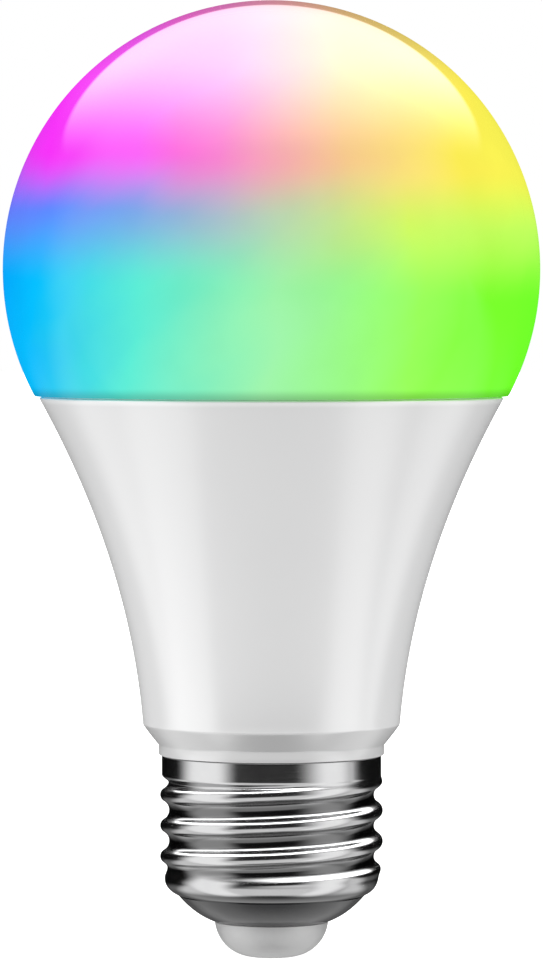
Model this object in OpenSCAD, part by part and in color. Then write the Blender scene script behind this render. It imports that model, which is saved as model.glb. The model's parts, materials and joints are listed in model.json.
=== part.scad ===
// Colour-changing smart light bulb with an Edison screw cap.
// Millimetres, +Z up. The origin is the middle of the centre contact's tip, the lowest point of the cap,
// and +Z runs up the bulb's axis to the top of the globe. The front faces -Y.

/* [Globe] */
// Outside diameter of the diffuser globe
globe_d = 63; // [62:0.5:66]
// Height from the tip of the centre contact to the top of the globe
overall_h = 112.2; // [112:0.1:114]
// Height of the seam where the globe meets the housing
seam_z = 65.9; // [65.7:0.1:66.1]
// Wall of the globe
globe_wall = 1.3; // [1:0.1:1.4]

/* [Housing] */
// Wall of the plastic housing
housing_wall = 1.3; // [1.2:0.1:1.4]
// Radius of the housing just above its shoulder
waist_r = 15.1; // [15:0.1:15.4]
// How fast the housing widens just above its shoulder, over its whole height
waist_flare = 3.1; // [2.9:0.1:3.4]

/* [Screw cap] */
// Diameter over the crests of the Edison thread
thread_major_d = 26.2; // [26.05:0.05:26.4]
// Diameter at the roots of the Edison thread
thread_minor_d = 24.1; // [24:0.05:24.2]
// Height of one turn of the thread, 7 turns to the inch
thread_pitch = 3.629; // [3.6:0.001:3.66]
// Thickness of the cap's sheet metal
shell_t = 0.35; // [0.3:0.01:0.35]

/* [Light board] */
// Number of places for white lights and screws in the outer ring
ring_places = 24; // [18, 24]
// Number of colour lights in the inner ring
colour_lights = 6; // [4:1:6]
// Number of screws that hold the light board
screw_count = 3; // [2, 3]

/* [Hidden] */
$fn = 72;

// Small gap between pieces that sit against each other
gap = 0.05;
// Steps along a curved outline
curve_steps = 36;

// Globe
globe_r = globe_d / 2;
globe_z = overall_h - globe_r;
rim_r = sqrt(globe_r * globe_r - (globe_z - seam_z) * (globe_z - seam_z));
spigot_wall = 1.2;
spigot_clearance = 0.15;
spigot_inset = housing_wall + spigot_clearance;
spigot_foot_z = seam_z - 3.5;
bead_z = seam_z - 1.7;
bead_r = 0.3;

// Housing
sealant_t = 0.12;
housing_top_z = seam_z - sealant_t;
housing_top_r = rim_r - 0.5;
shoulder_z = 27.35;
shoulder_bend = [14.3, 26.2];
collar_r = 13.25;
collar_top_z = 24.95;
collar_foot_z = 23.8;
pocket_floor_z = 28.5;
collar_bore_r = 11.6;
neck_bore_r = 10.4;
neck_r = 11.5;
neck_foot_z = 10;
skirt_seat_r = 12.4;
skirt_seat_z = 22;
rail_gap = 1.4;
rail_x = 9.35;
rail_size = [2.3, 1, 12];

// Aluminium cup inside the housing, and the plates on its deck
cup_wall = 0.9;
cup_foot_z = 29;
deck_z = seam_z - 4.9;
deck_t = 1.2;
deck_hole_r = 16.5;
cup_top_z = seam_z - 3.7;
spreader_t = 1.2;
pad_t = 0.2;
board_t = 1.2;
spreader_r = 22.6;
pad_r = 21;
light_board_r = 22.4;
pad_z = deck_z + spreader_t;
light_board_z = pad_z + pad_t;
light_z = light_board_z + board_t;

// Screws and lights
screw_ring_r = 18.3;
screw_thread_r = 1.25;
screw_hole_r = 1.45;
screw_head_r = 2.3;
screw_length = 6;
white_ring_r = 18.3;
colour_ring_r = 12.5;
white_size = [2.8, 3.5, 0.7];
phosphor_pocket = [2, 2.7, 0.3];
colour_size = [5, 5, 1.2];

// Upright boards
board_y = 0.6;
header_y = -0.92;
header_pitch = 2;
header_pins = 5;
header_slot = [12.6, 1.8];
wifi_y = 3.6;
wifi_size = [15, 0.8, 20];
wifi_z = 49.5;
wifi_slot = [16.4, 3.4];
wifi_slot_y = 4.3;
wifi_pin_count = 6;
wifi_pin_z = 51;

// Parts on the driver board
bulk_cap = [4, 14, 13];
bulk_cap_y = 5.2;
output_cap = [3.15, 11, 36];
output_cap_at = [9.5, 4.4];
core_size = [10.2, 4.8, 8.8];
transformer_z = 39.4;
transformer_y = 5.9;
choke_at = [4, 29.6];
choke_length = 7.4;
drum_at = [-9.6, 37];
film_size = [5.6, 4.4, 8];
film_at = [-4.6, 19];
bridge_at = [1.2, 22.4];
bridge_size = [4.7, 2.4, 3.9];
resistor_at = [5.6, -2.6, 14.6];
resistor_r = 1.4;
resistor_length = 7;
chip_size = [3.9, 1.5, 4.9];
chips_at = [[-5, 39.5], [5.4, 41.5], [0, 47.5]];
diode_size = [2.6, 2, 4.3];
diodes_at = [[-6.6, 31.1], [9, 49], [-9.6, 49]];
small_chips_at = [[0.6, 15.6], [0.6, 17.6], [-6.4, 29], [-4.2, 29], [-2, 29], [-1.4, 36], [0.6, 36],
    [-10, 40.4], [-10, 42.6], [-10, 44.8], [0.4, 40.4], [0.4, 42.6], [10.4, 42.4], [10.4, 44.6],
    [-6.4, 45.2], [-5.4, 47.4], [5.4, 47.4], [7.4, 47.4], [-2, 52.4], [2, 52.4]];

// Screw cap
major_r = thread_major_d / 2;
minor_r = thread_minor_d / 2;
skirt_r = 12.9;
skirt_foot_z = 21.5;
skirt_top_z = collar_foot_z - gap;
crest_z = 19.95;
lip_arc_r = 2.2;
lip_arc_at = [10.4, 9.4];
lip_turn = 66;
// Radius of the thread's crest, as a share of the crest and root radii together
crest_share = 0.42;
thread_steps = 10;
thread_sides = 40;
// Crimps that lock the cap to the neck, at its two sides and its back
crimp_angles = [14, 90, 166];
crimp_z = 22.6;
crimp_ball_r = 0.7;
crimp_ball_at = 13.2;

// Insulator and contact
insulator_lip_r = 10.95;
insulator_lip_z = 7.2;
insulator_bend = [9.2, 5.15];
insulator_tip_z = 4.3;
insulator_tip_r = 7.1;
insulator_floor_z = 7;
insulator_top_z = 9.9;
contact_t = 0.5;
contact_arc_r = 4.5;
contact_arc_at = [2.2, 4.5];
contact_stem_r = 1.2;
contact_stem_z = 8.3;

// Wires
wire_r = 0.7;
tail_r = 0.25;
mains_hole = [4.6, 13.2];
// Direction of the groove that holds the neutral wire's bare end
neutral_angle = 252;
wire_sides = 12;
wire_rings = 16;

// Radius of the housing's outside at height z
function housing_r(z) = let (t = (z - shoulder_z) / (housing_top_z - shoulder_z))
    waist_r + waist_flare * t + (housing_top_r - waist_r - waist_flare) * t * t;

// Points of the housing's flare from z0 to z1, moved inwards by inset
function flare(z0, z1, inset = 0) = [for (i = [0:curve_steps])
    let (z = z0 + (z1 - z0) * i / curve_steps) [housing_r(z) - inset, z]];

// Points of an arc about at, from angle a0 to a1
function arc(at, r, a0, a1, steps = 12) = [for (i = [0:steps])
    let (a = a0 + (a1 - a0) * i / steps) at + r * [cos(a), sin(a)]];

// Points of a curve from p0 to p2 that bends towards p1
function bend(p0, p1, p2, steps = 8) = [for (i = [0:steps])
    let (t = i / steps) (1 - t) * (1 - t) * p0 + 2 * t * (1 - t) * p1 + t * t * p2];

// Point at t on a cubic curve
function cubic(p, t) = pow(1 - t, 3) * p[0] + 3 * t * pow(1 - t, 2) * p[1]
    + 3 * t * t * (1 - t) * p[2] + t * t * t * p[3];

function smooth(x) = let (t = min(max(x, 0), 1)) t * t * (3 - 2 * t);

function unit(v) = v / norm(v);

module turned(outline) {
    rotate_extrude() polygon(outline);
}

// A tube with z at its foot
module ring(outer, inner, height) {
    difference() {
        cylinder(r = outer, h = height);
        translate([0, 0, -1]) cylinder(r = inner, h = height + 2);
    }
}

// Copies the child at each of count places round the axis
module around(count, r, first = 0) {
    for (i = [0:count - 1]) rotate(first + 360 * i / count) translate([r, 0, 0]) children();
}

// A block centred in X and Y with its foot at z = 0
module block(size) {
    translate([-size[0] / 2, -size[1] / 2, 0]) cube(size);
}

// ---------------------------------------------------------------- globe and housing

module diffuser_globe() {
    inner_rim_z = seam_z + spigot_wall;
    color([0.62, 0.95, 0.68]) difference() {
        union() {
            difference() {
                translate([0, 0, globe_z]) sphere(r = globe_r);
                translate([0, 0, seam_z - 100]) cylinder(r = 100, h = 100);
            }
            turned([[0, spigot_foot_z], each flare(spigot_foot_z, seam_z + 0.4, spigot_inset),
                [0, seam_z + 0.4]]);
            rotate_extrude() translate([housing_r(bead_z) - spigot_inset, bead_z]) circle(r = bead_r);
        }
        difference() {
            translate([0, 0, globe_z]) sphere(r = globe_r - globe_wall);
            translate([0, 0, inner_rim_z - 100]) cylinder(r = 100, h = 100);
        }
        turned([[0, spigot_foot_z - 1],
            each flare(spigot_foot_z - 1, inner_rim_z + 0.1, spigot_inset + spigot_wall),
            [0, inner_rim_z + 0.1]]);
    }
}

// Bead of silicone under the globe's rim
module globe_sealant() {
    color("white") translate([0, 0, housing_top_z])
        ring(housing_top_r - 0.5, housing_top_r - housing_wall + 0.15, seam_z - housing_top_z);
}

module at_crimps() {
    for (a = crimp_angles) rotate(a) translate([crimp_ball_at, 0, crimp_z]) children();
}

module housing_shell() {
    edge = 0.3;
    color([0.95, 0.95, 0.95]) difference() {
        union() {
            turned([
                each flare(shoulder_z, housing_top_z - edge),
                [housing_top_r - edge, housing_top_z],
                each [for (i = [curve_steps:-1:0]) flare(pocket_floor_z, housing_top_z, housing_wall)[i]],
                [collar_bore_r, pocket_floor_z],
                [collar_bore_r, collar_foot_z],
                [neck_bore_r, collar_foot_z - 0.8],
                [neck_bore_r, neck_foot_z],
                [neck_r - edge, neck_foot_z],
                [neck_r, neck_foot_z + edge],
                [neck_r, skirt_seat_z - 0.2],
                [skirt_seat_r, skirt_seat_z],
                [skirt_seat_r, collar_foot_z],
                [collar_r - edge / 2, collar_foot_z],
                [collar_r, collar_foot_z + edge / 2],
                each bend([collar_r, collar_top_z], shoulder_bend, [waist_r, shoulder_z])]);
            board_rails();
        }
        rotate_extrude() translate([housing_r(bead_z) - housing_wall, bead_z]) circle(r = bead_r + 0.1);
        at_crimps() sphere(r = crimp_ball_r + 0.45);
        // Groove up the outside of the neck, and the notch in its foot that leads to it
        rotate(neutral_angle) translate([neck_r - 0.55, -0.4, neck_foot_z - 1]) cube([2, 0.8, 8]);
        rotate(neutral_angle) translate([neck_bore_r - 2, -0.9, neck_foot_z - 1]) cube([4, 1.8, 2.6]);
    }
}

// Ribs inside the neck that hold the edges of the driver board
module board_rails() {
    for (side = [-1, 1], face = [-1, 1])
        translate([side * rail_x, face * (rail_gap + rail_size[1]) / 2, neck_foot_z + 1]) block(rail_size);
}

// ---------------------------------------------------------------- heat path

module heatsink_cup() {
    inset = housing_wall + gap;
    foot_z = deck_z - deck_t;
    color([0.8, 0.8, 0.82]) difference() {
        union() {
            turned([
                each flare(cup_foot_z, cup_top_z, inset),
                each [for (i = [curve_steps:-1:0]) flare(deck_z, cup_top_z, inset + cup_wall)[i]],
                [deck_hole_r, deck_z],
                [deck_hole_r, foot_z],
                each [for (i = [curve_steps:-1:0]) flare(cup_foot_z, foot_z, inset + cup_wall)[i]]]);
            around(screw_count, screw_ring_r) translate([0, 0, foot_z - 2.4]) cylinder(r = 2.4, h = 2.5);
        }
        around(screw_count, screw_ring_r) translate([0, 0, deck_z - screw_length])
            cylinder(r = screw_thread_r + 0.02, h = screw_length + 1);
    }
}

// The openings that the plates share: two slots and the screw holes
module plate_openings() {
    translate([0, header_y, deck_z - 1]) block([header_slot[0], header_slot[1], 10]);
    translate([0, wifi_slot_y, deck_z - 1]) block([wifi_slot[0], wifi_slot[1], 10]);
    around(screw_count, screw_ring_r) translate([0, 0, deck_z - 1]) cylinder(r = screw_hole_r, h = 10);
}

module heat_spreader() {
    color([0.78, 0.79, 0.8]) difference() {
        translate([0, 0, deck_z]) cylinder(r = spreader_r, h = spreader_t);
        plate_openings();
    }
}

module thermal_pad() {
    color([0.55, 0.66, 0.74]) difference() {
        translate([0, 0, pad_z]) cylinder(r = pad_r, h = pad_t);
        plate_openings();
    }
}

module board_screws() {
    color([0.7, 0.7, 0.68]) around(screw_count, screw_ring_r) difference() {
        union() {
            translate([0, 0, light_z]) turned([[0, 0], [screw_head_r, 0], [screw_head_r, 0.7],
                each arc([screw_head_r - 0.8, 0.7], 0.8, 0, 90, 6), [0, 1.5]]);
            translate([0, 0, light_z - screw_length]) cylinder(r = screw_thread_r, h = screw_length);
        }
        for (turn = [0, 90]) rotate(turn) translate([0, 0, light_z + 0.6]) block([2.6, 0.6, 2]);
    }
}

// ---------------------------------------------------------------- light board

module led_board() {
    color([0.96, 0.96, 0.94]) difference() {
        translate([0, 0, light_board_z]) cylinder(r = light_board_r, h = board_t);
        plate_openings();
        // Two notches in the edge that set which way round it goes
        for (side = [-1, 1]) translate([side * light_board_r, 0, light_board_z - 1]) cylinder(r = 1.2, h = 4);
    }
}

// A white light's frame, with a pocket for its phosphor
module light_frame(size, pocket) {
    difference() {
        block(size);
        translate([0, 0, size[2] - pocket[2]]) block([pocket[0], pocket[1], 1]);
    }
}

// What fills a white light's pocket
module phosphor() {
    side_gap = 0.02;
    translate([0, 0, white_size[2] - phosphor_pocket[2] + side_gap])
        block(phosphor_pocket - 2 * side_gap * [1, 1, 1]);
}

// Places in the outer ring that a screw does not take: parity 0 is cool white and 1 is warm white
module at_white(parity) {
    each_screw = ring_places / screw_count;
    for (i = [0:ring_places - 1])
        if (i % 2 == parity && i % each_screw != 0)
            rotate(360 * i / ring_places) translate([white_ring_r, 0, light_z]) children();
}

module at_colour() {
    around(colour_lights, colour_ring_r) translate([0, 0, light_z]) children();
}

module cool_white_leds() {
    color([0.93, 0.93, 0.9]) at_white(0) light_frame(white_size, phosphor_pocket);
}

module cool_phosphor() {
    color([0.95, 0.9, 0.35]) at_white(0) phosphor();
}

module warm_white_leds() {
    color([0.93, 0.93, 0.9]) at_white(1) light_frame(white_size, phosphor_pocket);
}

module warm_phosphor() {
    color([0.96, 0.68, 0.2]) at_white(1) phosphor();
}

module rgb_leds() {
    color([0.94, 0.94, 0.92]) at_colour() difference() {
        block(colour_size);
        translate([0, 0, colour_size[2] - 0.4]) cylinder(r = 1.9, h = 1);
    }
}

// Red, green and blue dies on the floor of each colour light
module rgb_dies() {
    color([0.3, 0.35, 0.4]) at_colour() for (i = [-1:1])
        translate([0, i * 1.1, colour_size[2] - 0.4]) block([0.6, 0.6, 0.2]);
}

module at_header() {
    for (i = [0:header_pins - 1])
        translate([(i - (header_pins - 1) / 2) * header_pitch, header_y, 0]) children();
}

module led_socket() {
    color([0.92, 0.92, 0.88]) difference() {
        translate([0, header_y, light_z]) block([header_slot[0] + 1.6, 3.4, 2.3]);
        at_header() translate([0, 0, light_z - 1]) block([0.72, 0.72, 5]);
    }
}

module led_header() {
    color([0.12, 0.12, 0.13]) difference() {
        translate([0, header_y, 57]) block([header_slot[0] - 2.2, 2.4, 2.4]);
        at_header() translate([0, 0, 50]) block([0.66, 0.66, 12]);
    }
}

module led_header_pins() {
    color([0.85, 0.72, 0.35]) at_header() translate([0, 0, 54]) block([0.64, 0.64, light_z + 2 - 54]);
}

// ---------------------------------------------------------------- radio module

module wifi_board() {
    color([0.08, 0.3, 0.2]) difference() {
        translate([-wifi_size[0] / 2, wifi_y, wifi_z]) cube(wifi_size);
        at_wifi_pins() rotate([90, 0, 0]) cylinder(r = 0.45, h = 20, center = true);
    }
}

module at_wifi_pins() {
    for (i = [0:wifi_pin_count - 1])
        translate([(i - (wifi_pin_count - 1) / 2) * header_pitch, 0, wifi_pin_z]) children();
}

// Folded copper track at the top of the radio board, above the light board
module wifi_antenna() {
    track = 0.5;
    rise = 4;
    step = 1.25;
    folds = 9;
    foot = wifi_z + wifi_size[2] - rise - 0.8;
    color([0.8, 0.5, 0.3]) translate([-folds * step / 2, wifi_y + wifi_size[1], foot]) union() {
        for (i = [0:folds]) translate([i * step, 0, 0]) cube([track, 0.1, rise]);
        for (i = [0:folds - 1]) translate([i * step, 0, i % 2 == 0 ? rise - track : 0])
            cube([step + track, 0.1, track]);
        translate([0, 0, -1.6]) cube([track, 0.1, 2]);
    }
}

module wifi_chip() {
    color([0.12, 0.12, 0.13]) translate([0, wifi_y + wifi_size[1], wifi_z + 6.4])
        translate([-2.5, 0, 0]) cube([5, 0.9, 5]);
}

module wifi_crystal() {
    color([0.75, 0.75, 0.72]) translate([4, wifi_y + wifi_size[1], wifi_z + 8]) cube([2.5, 0.7, 3.2]);
}

module wifi_header() {
    color([0.12, 0.12, 0.13]) difference() {
        translate([0, 2.35, wifi_pin_z - 1]) block([wifi_pin_count * header_pitch + 0.4, 2.2, 2]);
        at_wifi_pins() translate([0, -1, -0.28]) block([0.56, 12, 0.56]);
    }
}

module wifi_pins() {
    length = wifi_y + wifi_size[1] + 1.9;
    color([0.85, 0.72, 0.35]) at_wifi_pins() translate([-0.27, -1.2, -0.27]) cube([0.54, length, 0.54]);
}

// ---------------------------------------------------------------- driver board

module driver_board() {
    color([0.12, 0.38, 0.22]) difference() {
        translate([0, board_y, 0]) rotate([90, 0, 0]) linear_extrude(2 * board_y)
            polygon([[-8.8, 11.6], [8.8, 11.6], [8.8, 28.4], [12.2, 33], [15, 56.6], [-15, 56.6], [-12.2, 33],
                [-8.8, 28.4]]);
        at_wifi_pins() rotate([90, 0, 0]) cylinder(r = 0.45, h = 20, center = true);
        at_leads() rotate([90, 0, 0]) cylinder(r = 0.4, h = 20, center = true);
        // Round holes that the two mains wires are soldered in
        for (side = [-1, 1]) translate([side * mains_hole[0], 0, mains_hole[1]]) rotate([90, 0, 0])
            cylinder(r = 0.6, h = 20, center = true);
    }
}

// Holes for the legs of the two capacitors and the inductor on the back
module at_leads() {
    for (x = [-1.75, 1.75]) translate([x, 0, bulk_cap[2] - 0.6]) children();
    for (x = [-1.25, 1.25]) translate([output_cap_at[0] + x, 0, output_cap[2] - 0.6]) children();
    for (x = [-1.5, 1.5]) translate([drum_at[0] + x, 0, drum_at[1] - 0.6]) children();
    for (x = [-4, 4], z = [transformer_z - 5.6, transformer_z + 5.6]) translate([x, 0, z]) children();
}

module can(r, height) {
    difference() {
        turned([[0, 0], [r - 0.5, 0], [r, 0.5], [r, 1.4], [r - 0.35, 1.8], [r, 2.2], [r, height - 0.4],
            [r - 0.4, height], [0, height]]);
        // Pressure relief cross in the top
        for (turn = [0, 90]) rotate(turn) translate([0, 0, height - 0.15]) block([1.2 * r, 0.3, 1]);
    }
}

// A printed plastic sleeve round a can, turned over its two ends
module sleeve(r, height) {
    turned([[r + gap, 2.4], [r + 0.2, 2.4], [r + 0.2, height + 0.05], [r - 0.2, height + 0.2],
        [r - 0.9, height + 0.2], [r - 0.9, height + 0.05], [r - 0.35, height + 0.05],
        [r + gap, height - 0.4]]);
}

module bulk_capacitor() {
    color([0.78, 0.78, 0.8]) translate([0, bulk_cap_y, bulk_cap[2]]) can(bulk_cap[0], bulk_cap[1]);
}

module bulk_capacitor_sleeve() {
    color([0.1, 0.12, 0.16]) translate([0, bulk_cap_y, bulk_cap[2]]) sleeve(bulk_cap[0], bulk_cap[1]);
}

module output_capacitor() {
    color([0.78, 0.78, 0.8]) translate([output_cap_at[0], output_cap_at[1], output_cap[2]])
        can(output_cap[0], output_cap[1]);
}

module output_capacitor_sleeve() {
    color([0.2, 0.3, 0.5]) translate([output_cap_at[0], output_cap_at[1], output_cap[2]])
        sleeve(output_cap[0], output_cap[1]);
}

// Two E-shaped halves of ferrite that meet in the middle, round the bobbin's tube
module transformer_core() {
    window = [1.6, core_size[1] + 2, core_size[2] - 3.2];
    color([0.2, 0.2, 0.22]) translate([0, transformer_y, transformer_z]) difference() {
        translate([0, 0, -core_size[2] / 2]) block(core_size);
        for (side = [-1, 1]) translate([side * 2.8, 0, -window[2] / 2]) block(window);
        translate([0, 0, -0.03]) block([20, 20, 0.06]);
    }
}

module transformer_bobbin() {
    tube = [4.9, 5.9, core_size[2] - 3.5];
    color([0.16, 0.14, 0.13]) translate([0, transformer_y, transformer_z]) difference() {
        union() {
            for (z = [-tube[2] / 2, tube[2] / 2 - 0.5]) translate([0, 0, z]) block([6.8, 8.6, 0.5]);
            translate([0, 0, -tube[2] / 2]) block([4.7, 5.7, tube[2]]);
            for (z = [-core_size[2] / 2 - 1.9, core_size[2] / 2 + 0.1])
                translate([0, -3.5, z]) block([10.6, 2.6, 1.8]);
        }
        translate([0, 0, -10]) block([4.1, core_size[1] + 0.1, 20]);
    }
}

module transformer_winding() {
    height = core_size[2] - 4.7;
    color([0.93, 0.8, 0.25]) translate([0, transformer_y, transformer_z - height / 2]) difference() {
        block([6.7, 8.4, height]);
        translate([0, 0, -1]) block([4.8, 5.8, height + 2]);
    }
}

// Drum-shaped inductor in its sleeve
module filter_inductor() {
    color([0.1, 0.1, 0.11]) translate([drum_at[0], 4.2, drum_at[1]])
        turned([[0, 0], [2.6, 0], [3, 0.5], [3, 2], [2.8, 2.6], [2.8, 5.4], [3, 6], [3, 7.5], [2.6, 8],
            [0, 8]]);
}

module choke_core() {
    color([0.2, 0.2, 0.22]) translate([choke_at[0], -board_y - 0.1, choke_at[1]]) rotate([90, 0, 0])
        turned([[0, 0], [3, 0], [3, 1], [1.4, 1.1], [1.4, choke_length - 1.1], [3, choke_length - 1],
            [3, choke_length], [0, choke_length]]);
}

// Turns of enamelled copper wire, as one ribbed coil
module choke_winding() {
    turns = 10;
    step = (choke_length - 2.4) / turns;
    color([0.72, 0.32, 0.14]) translate([choke_at[0], -board_y - 0.1, choke_at[1]]) rotate([90, 0, 0])
        turned([[1.45, 1.2],
            each [for (i = [0:turns - 1]) each arc([2.3, 1.2 + (i + 0.5) * step], step / 2, -90, 90, 6)],
            [1.45, choke_length - 1.2]]);
}

module film_capacitor() {
    color([0.62, 0.18, 0.12]) translate([film_at[0], -board_y - 0.1 - film_size[1], film_at[1]])
        translate([-film_size[0] / 2, 0, 0]) hull()
            for (x = [0.8, film_size[0] - 0.8], y = [0.8, film_size[1] - 0.8])
                translate([x, y, 0]) cylinder(r = 0.8, h = film_size[2], $fn = 32);
}

// The notch in its corner marks the positive pin
module bridge_rectifier() {
    corner = [bridge_at[0] - bridge_size[0] / 2, -board_y - 0.15 - bridge_size[1], bridge_at[1]];
    color([0.1, 0.1, 0.11]) translate(corner) difference() {
        cube(bridge_size);
        translate([-1, -1, bridge_size[2] - 0.7]) cube([2, 1.3, 1]);
    }
}

module at_chips() {
    for (p = chips_at) translate([p[0], -board_y, p[1]]) children();
}

module driver_chips() {
    color([0.1, 0.1, 0.11]) at_chips() difference() {
        translate([-chip_size[0] / 2, -chip_size[1] - 0.1, -chip_size[2] / 2]) cube(chip_size);
        translate([-1.2, -chip_size[1] - 0.1, 1.6]) rotate([90, 0, 0])
            cylinder(r = 0.35, h = 0.2, center = true);
    }
}

// Bent legs of the chips: four on each side, flat on the board
module chip_leads() {
    color([0.78, 0.78, 0.76]) at_chips() for (side = [-1, 1], row = [0:3])
        translate([side * (chip_size[0] / 2 + 0.35), -0.35, (row - 1.5) * 1.27]) {
            translate([-0.35, -0.5, -0.2]) cube([0.7, 0.15, 0.4]);
            translate([side * 0.275 - 0.075, -0.5, -0.2]) cube([0.15, 0.83, 0.4]);
            translate([side * 0.525 - 0.3, 0.2, -0.2]) cube([0.6, 0.13, 0.4]);
        }
}

module chip_resistors() {
    color([0.35, 0.3, 0.26]) for (i = [0:len(small_chips_at) - 1])
        translate([small_chips_at[i][0] - 0.625, -board_y - 0.6, small_chips_at[i][1] - 0.5])
            cube([1.25, 0.58, i % 3 == 0 ? 1.4 : 0.9]);
}

module rectifier_diodes() {
    color([0.1, 0.1, 0.11]) for (p = diodes_at)
        translate([p[0] - diode_size[0] / 2, -board_y - 0.1 - diode_size[1], p[1]]) cube(diode_size);
}

// Wire-wound resistor that acts as the fuse
module fusible_resistor() {
    r = resistor_r;
    length = resistor_length;
    color([0.3, 0.5, 0.55]) translate(resistor_at) turned([[0, 0], [r - 0.3, 0], [r, 0.3], [r, 1.2],
        [r - 0.15, 1.5], [r - 0.15, length - 1.5], [r, length - 1.2], [r, length - 0.3], [r - 0.3, length],
        [0, length]]);
}

// A leg that leaves a part downwards at p and turns to the board
module leg(p, drop = 0.6) {
    r = 0.28;
    end_y = -board_y - 0.7;
    translate([p[0], p[1], p[2] - drop]) {
        cylinder(r = r, h = drop);
        sphere(r = r);
        rotate([90, 0, 0]) cylinder(r = r, h = p[1] - end_y);
    }
}

module component_leads() {
    color([0.8, 0.8, 0.78]) {
        for (x = [-1.75, 1.75]) leg([x, bulk_cap_y, bulk_cap[2]]);
        for (x = [-1.25, 1.25]) leg([output_cap_at[0] + x, output_cap_at[1], output_cap[2]]);
        for (x = [-1.5, 1.5]) leg([drum_at[0] + x, 4.2, drum_at[1]]);
        for (x = [-4, 4], z = [transformer_z - 5.6, transformer_z + 5.6])
            translate([x, 1.1, z]) rotate([90, 0, 0]) cylinder(r = 0.28, h = 1.1 + board_y + 0.7);
        // The fusible resistor's two legs, bent back to the board's front face
        for (end = [-1, 1]) translate(resistor_at + [0, 0, end < 0 ? 0 : resistor_length]) {
            translate([0, 0, end < 0 ? -0.7 : 0]) cylinder(r = 0.28, h = 0.7);
            translate([0, 0, end * 0.7]) {
                sphere(r = 0.28);
                rotate([-90, 0, 0]) cylinder(r = 0.28, h = -resistor_at[1] - board_y);
            }
        }
    }
}

// Solder round each leg and pin where it comes through the board's front face
module solder_joints() {
    color([0.75, 0.76, 0.78]) {
        at_leads() fillet(0.29);
        difference() {
            at_wifi_pins() rotate([90, 0, 0]) translate([0, 0, board_y])
                cylinder(r1 = 0.8, r2 = 0.45, h = 0.5);
            wifi_pin_holes();
        }
        for (side = [-1, 1]) translate([side * mains_hole[0], 0, mains_hole[1]]) fillet(tail_r + 0.01);
    }
}

module wifi_pin_holes() {
    at_wifi_pins() translate([-0.28, -3, -0.28]) cube([0.56, 10, 0.56]);
}

module fillet(hole_r) {
    rotate([90, 0, 0]) translate([0, 0, board_y]) difference() {
        cylinder(r1 = 0.85, r2 = 0.45, h = 0.6);
        translate([0, 0, -1]) cylinder(r = hole_r, h = 3);
    }
}

// ---------------------------------------------------------------- wires

// Each wire's route is a cubic curve between two points
live_route = [[4.6, -1.9, 13.2], [4.6, -5.6, 13.4], [3.55, -4.25, 8.6], [2.05, -1.25, 8.6]];
neutral_route = [[-4.6, -1.9, 13.2], [-4.6, -4.8, 13.6], [-2.15, -6.5, 11.2], [-3, -9.2, 11.2]];

// A round wire along a cubic curve, as one closed mesh
module wire(route, r) {
    rings = [for (i = [0:wire_rings]) let (
        t = i / wire_rings,
        at = cubic(route, t),
        ahead = unit(cubic(route, min(t + 0.01, 1)) - cubic(route, max(t - 0.01, 0))),
        side = unit(cross(ahead, [1, 0, 0])),
        up = cross(side, ahead))
        [for (k = [0:wire_sides - 1]) let (a = 360 * k / wire_sides) at + r * (cos(a) * side + sin(a) * up)]];
    points = [for (ring = rings) each ring];
    walls = [for (i = [0:wire_rings - 1], k = [0:wire_sides - 1]) let (
        a = i * wire_sides + k,
        b = i * wire_sides + (k + 1) % wire_sides)
        each [[a, b, b + wire_sides], [a, b + wire_sides, a + wire_sides]]];
    ends = [[for (k = [wire_sides - 1:-1:0]) k], [for (k = [0:wire_sides - 1]) wire_rings * wire_sides + k]];
    polyhedron(points, [each walls, each ends]);
}

module live_wire() {
    color([0.75, 0.1, 0.1]) wire(live_route, wire_r);
}

module neutral_wire() {
    color([0.1, 0.1, 0.11]) wire(neutral_route, wire_r);
}

// A straight bare length of wire from a to b
module tail(a, b) {
    v = b - a;
    translate(a) rotate([0, acos(v[2] / norm(v)), atan2(v[1], v[0])]) cylinder(r = tail_r, h = norm(v));
}

module wire_tails() {
    groove = (neck_r - 0.08) * [cos(neutral_angle), sin(neutral_angle)];
    inside = neutral_route[3];
    turn_at = [groove[0], groove[1], inside[2]];
    color([0.78, 0.45, 0.3]) {
        for (p = [live_route[0], neutral_route[0]]) tail(p, [p[0], board_y + 0.4, p[2]]);
        // The neutral wire's end passes under the neck and up the groove, against the cap
        tail(inside, turn_at);
        translate(turn_at) sphere(r = tail_r);
        tail(turn_at, [groove[0], groove[1], 16]);
        // The live wire's end goes down beside the contact's stem
        translate([live_route[3][0] - 0.45, live_route[3][1] + 0.9, live_route[3][2]]) sphere(r = tail_r);
        tail(live_route[3], live_route[3] + [-0.45, 0.9, 0]);
        tail([1.6, -0.35, 5.2], [1.6, -0.35, live_route[3][2]]);
    }
}

// ---------------------------------------------------------------- screw cap

// Height of the thread over its root, x along the axis from a crest, as two arcs that meet
function thread_height(x) = let (
    depth = major_r - minor_r,
    half = thread_pitch / 2,
    turn = 2 * atan(depth / half),
    both_r = half / sin(turn),
    top_r = crest_share * both_r,
    foot_r = both_r - top_r,
    d = abs(x - thread_pitch * round(x / thread_pitch)))
    d < top_r * sin(turn) ? depth - top_r + sqrt(top_r * top_r - d * d)
        : foot_r - sqrt(max(foot_r * foot_r - (half - d) * (half - d), 0));

// Radius of a right-handed thread's outside at angle a and height z: a crest passes crest_z at the front
function thread_r(a, z) = minor_r + thread_height(z - crest_z - thread_pitch * (a + 90) / 360);

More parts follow.
